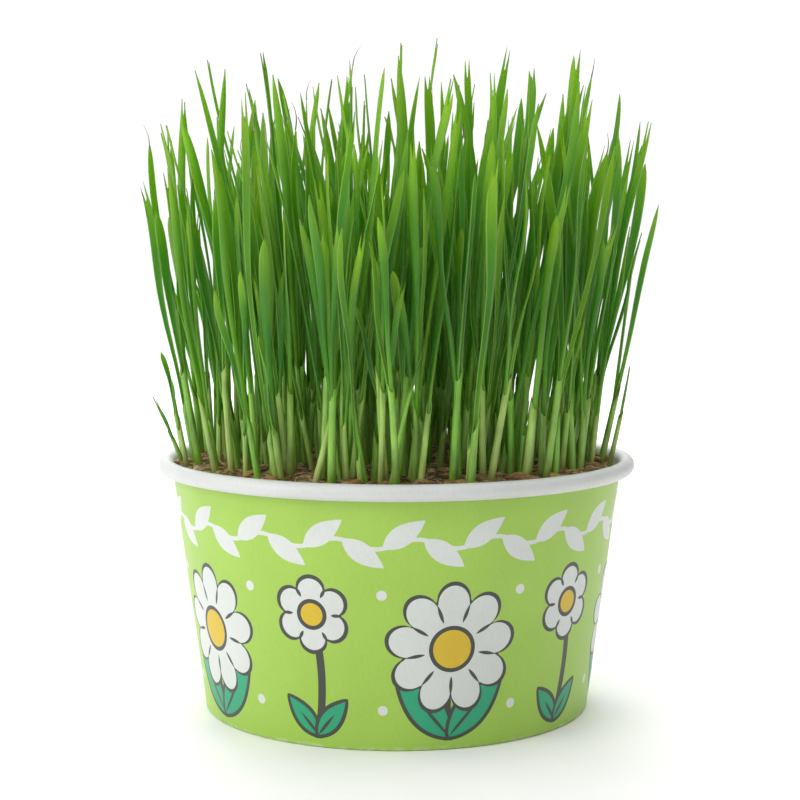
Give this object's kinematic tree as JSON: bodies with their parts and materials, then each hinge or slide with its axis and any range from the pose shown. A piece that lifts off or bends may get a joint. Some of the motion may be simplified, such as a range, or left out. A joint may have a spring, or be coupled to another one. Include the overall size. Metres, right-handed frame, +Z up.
{
  "type": "pot of cat grass",
  "caption": "Tapered paper cup with a rolled rim, filled with moist coir, from which dense upright tufts of sprouted cereal grass grow.",
  "frame": {"origin": "centre of the ring that the cup stands on, at the table", "axes": "+Z up along the cup's axis, -Y towards the front of the picture"},
  "size_m": [0.1222, 0.1227, 0.158],
  "materials": {
    "printed_card": "lime green print on coated paperboard, with a white rolled rim and a white inside",
    "white_card": "bare white coated paperboard",
    "coir": "loose brown coconut fibre, moist",
    "grass": "fresh green leaf, satin, with pale sheaths"
  },
  "bodies": {
    "root": {"cup_wall": "printed_card", "cup_bottom": "white_card", "soil": "coir", "grass_tuft_01": "grass", "grass_tuft_02": "grass", "grass_tuft_03": "grass", "grass_tuft_04": "grass", "grass_tuft_05": "grass", "grass_tuft_06": "grass", "grass_tuft_07": "grass", "grass_tuft_08": "grass", "grass_tuft_09": "grass", "grass_tuft_10": "grass", "grass_tuft_11": "grass", "grass_tuft_12": "grass", "grass_tuft_13": "grass", "grass_tuft_14": "grass", "grass_tuft_15": "grass", "grass_tuft_16": "grass", "grass_tuft_17": "grass", "grass_tuft_18": "grass", "grass_tuft_19": "grass", "grass_tuft_20": "grass", "grass_tuft_21": "grass", "grass_tuft_22": "grass", "grass_tuft_23": "grass", "grass_tuft_24": "grass", "grass_tuft_25": "grass", "grass_tuft_26": "grass", "grass_tuft_27": "grass", "grass_tuft_28": "grass", "grass_tuft_29": "grass", "grass_tuft_30": "grass", "grass_tuft_31": "grass", "grass_tuft_32": "grass", "grass_tuft_33": "grass", "grass_tuft_34": "grass", "grass_tuft_35": "grass", "grass_tuft_36": "grass", "grass_tuft_37": "grass"}
  },
  "joints": []
}
